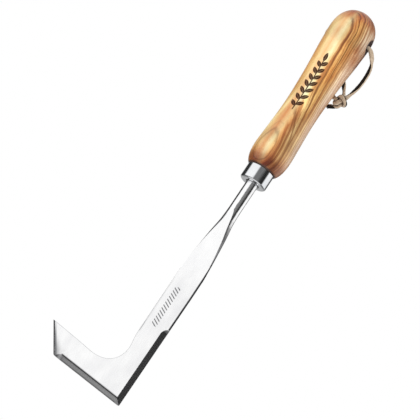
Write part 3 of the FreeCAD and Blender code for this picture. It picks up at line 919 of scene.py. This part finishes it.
def lace_frame(along, tangent, point_along):
    """Unit normals of the dyed face, and the directions across it."""
    side = np.zeros_like(tangent)
    carried = UP
    for i, direction in enumerate(tangent):
        carried = carried - direction * (carried @ direction)
        carried = carried / np.linalg.norm(carried)
        side[i] = carried
    other = np.cross(tangent, side)
    turns = []
    for index, facing in DYED_FACING:
        i = int(round(point_along[index] / along[-1] * (len(along) - 1)))
        facing = np.asarray(facing, float)
        turns.append(math.atan2(facing @ other[i], facing @ side[i]))
    places = [point_along[index] for index, _ in DYED_FACING]
    twist = np.interp(along, places, np.unwrap(np.array(turns)))
    window = np.hanning(2 * TWIST_BLUR + 1)
    twist = np.convolve(np.pad(twist, TWIST_BLUR, mode="edge"), window / window.sum(), "valid")
    dyed = side * np.cos(twist)[:, None] + other * np.sin(twist)[:, None]
    return dyed, np.cross(tangent, dyed)


def lace_size(along, centre):
    """Half thickness and half breadth at each station."""
    thick = 1.12 + 0.05 * np.sin(along * 0.37 + 0.6) + 0.03 * np.sin(along * 1.31)
    broad = 1.62 + 0.06 * np.sin(along * 0.29 + 2.0) + 0.04 * np.sin(along * 1.07 + 1.0)
    # drawn tight in the knot, against the grip, and by the rim of the -X mouth
    knot = np.exp(-(np.linalg.norm(centre - KNOT_CENTRE, axis=1) / 7.6) ** 4)
    tight = np.clip((-centre[:, 0] - 13.0) / 2.5, 0, 1)
    pinch = np.exp(-((along - 127.0) / 2.6) ** 2)
    thick = thick * (1 + 0.07 * knot) * (1 - 0.06 * tight) * (1 - 0.12 * pinch)
    broad = broad * (1 - 0.13 * knot) * (1 - 0.10 * tight) * (1 - 0.16 * pinch)
    return thick, broad


def make_lace():
    along, centre, tangent, point_along = lace_path()
    dyed, across = lace_frame(along, tangent, point_along)
    thick, broad = lace_size(along, centre)
    stations, size = len(along), SECTION_POINTS

    phi = np.arange(size) * 2 * math.pi / size + math.pi / size
    section_x = np.sign(np.cos(phi)) * np.abs(np.cos(phi)) ** SECTION_POWER
    section_y = np.sign(np.sin(phi)) * np.abs(np.sin(phi)) ** SECTION_POWER
    rings = centre[:, None, :] \
        + dyed[:, None, :] * (thick[:, None] * section_x[None])[..., None] \
        + across[:, None, :] * (broad[:, None] * section_y[None])[..., None]
    # fine unevenness of a cut strip
    uneven = 0.035 * np.sin(along[:, None] * 2.1 + 1.7 * np.sin(phi)[None] * 2 + 0.5) \
        + 0.025 * np.sin(along[:, None] * 4.7 + 2.3 * np.cos(phi)[None] * 2)
    radial = rings - centre[:, None, :]
    radial /= np.linalg.norm(radial, axis=-1, keepdims=True)
    rings = rings + radial * uneven[..., None]

    points, values = [], []

    def add(places, *attributes):
        """Add points with their side, along, around and cut values."""
        rows = np.empty((4, len(places)))
        for row, value in zip(rows, attributes):
            row[:] = value
        points.append(places)
        values.append(rows)
    add(rings.reshape(-1, 3), np.tile(section_x / np.abs(section_x).max(), stations),
        np.repeat(along, size), np.tile(phi, stations), 0.0)
    faces = []
    for i in range(stations - 1):
        faces += band_faces(range(i * size, (i + 1) * size), range((i + 1) * size, (i + 2) * size))

    count = stations * size
    for i, outward, flip in ((0, -tangent[0], True), (stations - 1, tangent[-1], False)):
        cap = []
        previous = range(i * size, (i + 1) * size)
        for scale, push in CAP_RINGS:
            add(centre[i] + (rings[i] - centre[i]) * scale + outward * push,
                0.0, along[i], phi, 1.0)
            ring = range(count, count + size)
            cap += band_faces(previous, ring)
            previous = ring
            count += size
        add((centre[i] + outward * CAP_HEIGHT)[None], 0.0, along[i], 0.0, 1.0)
        cap += [(previous[j], previous[(j + 1) % size], count) for j in range(size)]
        count += 1
        faces += [face[::-1] for face in cap] if flip else cap

    obj = mesh_object("lace", (np.vstack(points) * MM).tolist(), faces)
    mesh = obj.data
    names = ("lace_side", "lace_along", "lace_around", "lace_cut")
    for name, data in zip(names, np.hstack(values)):
        mesh.attributes.new(name, "FLOAT", "POINT").data.foreach_set(
            "value", data.astype(np.float32))
    face_outward(mesh)
    shade_smooth(mesh)
    return obj


# ---------------------------------------------------------------- build
grip = make_grip()
assign(grip, wood())
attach(grip, "tool")
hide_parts("handle")

lace = make_lace()
assign(lace, lace_leather())
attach(lace, "loop")
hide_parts("leather_cord")

for piece, make_material, slot in (("blade", blade_steel, "blade_steel"),
                                   ("ferrule", ferrule_steel, "ferrule_steel"),
                                   ("tang_resin", resin, "bedding_resin")):
    assign(nodes[piece], make_material())


# ---------------------------------------------------------------- studio
# Brightness seen in reflections round the horizon: (azimuth, level)
PANELS = [
    (-180, 0.40), (-160, 0.58), (-142, 0.30), (-133, 0.03), (-90, 0.03), (-78, 1.12),
    (-12, 1.12), (-2, 0.21), (30, 0.20), (44, 0.10), (54, 0.03), (66, 0.02), (79, 0.025),
    (90, 1.1), (134, 1.05), (146, 0.40), (180, 0.40)]


def studio_world():
    """White to the camera, panels to reflections and soft light to all else."""
    world = bpy.data.worlds.new("studio")
    scene.world = world
    world.use_nodes = True
    g = Graph(world.node_tree)
    x, y, z = g.split(g.out(g.node("ShaderNodeTexCoord"), "Generated"))
    azimuth = g.azimuth(x, y)
    elevation = g.math("ARCSINE", z) * DEG_PER_RAD

    stops = [((degrees + 180.0) / 360.0, grey(level)) for degrees, level in PANELS]
    pattern = g.ramp(azimuth.slope(off=-180.0, on=180.0), stops)
    shade = azimuth.band((146.0, 151.0), (178.0, 173.0)) * elevation.fade(off=-4.0, on=1.0)
    above = elevation.fade(off=19.0, on=26.0)
    for mask, level in (
            (shade, 0.05),
            (above * azimuth.fade(off=-62.0, on=-82.0), 0.72),
            (above * azimuth.band((48.0, 58.0), (152.0, 142.0)), 0.10),
            (elevation.fade(off=-22.0, on=-34.0), 0.20),
            (elevation.fade(off=-54.0, on=-62.0), 0.95),
            (elevation.fade(off=50.0, on=66.0), 0.85)):
        pattern = g.mix(mask, pattern, grey(level))

    # soft light: brighter from above and from a broad patch toward -X and -Y
    soft = g.math("MULTIPLY_ADD", elevation.fade(off=-40.0, on=60.0), 0.25, 0.78)
    patch = azimuth.bell(at=-46.0, width=40.0) * elevation.bell(at=20.0, width=40.0)
    soft = soft + patch * 0.45
    soft_colour = g.node("ShaderNodeCombineColor")
    for i in range(3):
        g.put(soft_colour.inputs[i], soft)
    rays = g.node("ShaderNodeLightPath")
    seen = g.mix(g.out(rays, "Is Glossy Ray"), g.out(soft_colour), pattern)
    seen = g.mix(g.out(rays, "Is Camera Ray"), seen, grey(1.0))
    background = g.node("ShaderNodeBackground")
    g.put(background.inputs["Color"], seen)
    background.inputs["Strength"].default_value = 1.0
    g.output("ShaderNodeOutputWorld", background)


def pale_floor():
    """Matt floor that is clear from below."""
    mat, g = new_material("pale_floor")
    cloud = g.noise(g.coordinates()[0], scale=0.02, detail=3.0, rough=0.5)
    matt = g.node("ShaderNodeBsdfDiffuse")
    g.put(matt.inputs["Color"], g.mix(cloud, rgb(238, 237, 235), rgb(246, 245, 243)))
    clear = g.node("ShaderNodeBsdfTransparent")
    either = g.node("ShaderNodeMixShader")
    g.put(either.inputs[0], g.out(g.node("ShaderNodeNewGeometry"), "Backfacing"))
    g.put(either.inputs[1], g.out(matt))
    g.put(either.inputs[2], g.out(clear))
    g.output("ShaderNodeOutputMaterial", either)
    return mat


def floor(radius, gap, sides=96):
    """Disc a small gap below everything; sizes in metres."""
    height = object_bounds()[0].z - gap
    angles = [2 * math.pi * k / sides for k in range(sides)]
    vertices = [(0, 0, height)]
    vertices += [(radius * math.cos(a), radius * math.sin(a), height) for a in angles]
    faces = [(0, 1 + k, 1 + (k + 1) % sides) for k in range(sides)]
    obj = mesh_object("floor", vertices, faces)
    obj.data.materials.append(pale_floor())
    obj.visible_glossy = False
    obj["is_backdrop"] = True


def softbox(name, location, size, watts):
    """Area light aimed at the origin; metres."""
    light = bpy.data.lights.new(name, "AREA")
    light.shape = "RECTANGLE"
    light.size, light.size_y = size
    light.energy = watts
    obj = bpy.data.objects.new(name, light)
    scene.collection.objects.link(obj)
    obj.location = location
    obj.rotation_mode = "QUATERNION"
    obj.rotation_quaternion = (-Vector(location)).to_track_quat("-Z", "Y")
    obj.visible_glossy = False


# Camera: direction from the origin and roll in degrees, then lengths at the origin
CAMERA_AZIMUTH, CAMERA_ELEVATION, CAMERA_ROLL = 15.0, -15.0, 33.8
CAMERA_DISTANCE = 1500.0
FRAME_WIDTH = 296.400847        # width of the view
ORIGIN_RIGHT = 29.781228        # how far right of the view's centre the origin lies
ORIGIN_UP = 18.489767           # and how far above it
SENSOR_WIDTH = 36.0


def camera():
    azimuth, elevation, roll = map(
        math.radians, (CAMERA_AZIMUTH, CAMERA_ELEVATION, CAMERA_ROLL))
    back = Vector((math.sin(azimuth) * math.cos(elevation),
                   -math.cos(azimuth) * math.cos(elevation), math.sin(elevation)))
    level = Vector((math.cos(azimuth), math.sin(azimuth), 0.0))
    upright = back.cross(level)
    right = math.cos(roll) * level + math.sin(roll) * upright
    up = -math.sin(roll) * level + math.cos(roll) * upright
    place = (-ORIGIN_RIGHT * right - ORIGIN_UP * up + CAMERA_DISTANCE * back) * MM
    data = bpy.data.cameras.new("view")
    data.sensor_fit = "HORIZONTAL"
    data.sensor_width = SENSOR_WIDTH
    data.lens = SENSOR_WIDTH * CAMERA_DISTANCE / FRAME_WIDTH
    data.clip_start, data.clip_end = 0.05, 20.0
    obj = bpy.data.objects.new("view", data)
    scene.collection.objects.link(obj)
    rows = [(right[k], up[k], back[k], place[k]) for k in range(3)]
    obj.matrix_world = Matrix(rows + [(0, 0, 0, 1)])
    scene.camera = obj


studio_world()
floor(radius=2.4, gap=0.0004)
softbox("key_box", location=(-0.75, -0.85, 0.75), size=(0.7, 0.7), watts=5.0)
softbox("fill_box", location=(1.1, -0.35, 0.35), size=(0.7, 0.9), watts=2.0)
camera()
scene.view_settings.view_transform = "Standard"
scene.view_settings.look = "None"
scene.view_settings.exposure = 0.0
scene.view_settings.gamma = 1.0
